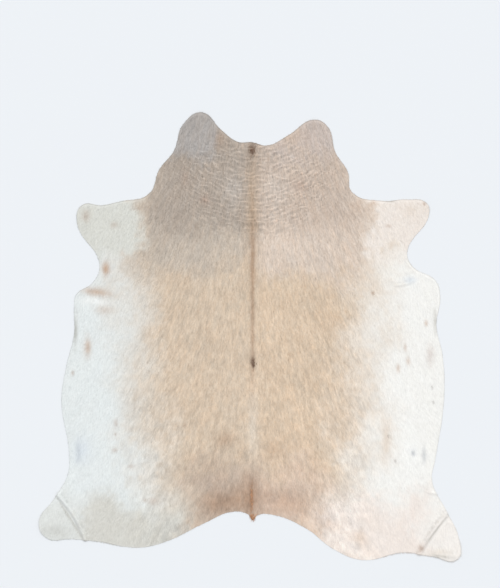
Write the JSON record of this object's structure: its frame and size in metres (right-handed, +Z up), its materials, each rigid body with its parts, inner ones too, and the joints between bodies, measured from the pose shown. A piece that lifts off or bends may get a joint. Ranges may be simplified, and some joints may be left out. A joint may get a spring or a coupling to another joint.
{
  "type": "cowhide",
  "caption": "Whole hair-on cowhide rug lying flat, with its neck, shank and belly outline, wrinkled neck and creased hind shanks.",
  "frame": {"origin": "under the middle of the hide's box, on the surface that it lies on", "axes": "+Z up out of the hair side, +Y along the spine towards the neck, +X to the right seen from above with the neck away from the viewer"},
  "size_m": [2.1064, 2.2415, 0.0143],
  "materials": {
    "hair_on_leather": "short lying cow hair, beige roan with pale flanks, over suede leather"
  },
  "bodies": {
    "root": {"hide": "hair_on_leather"}
  },
  "joints": []
}
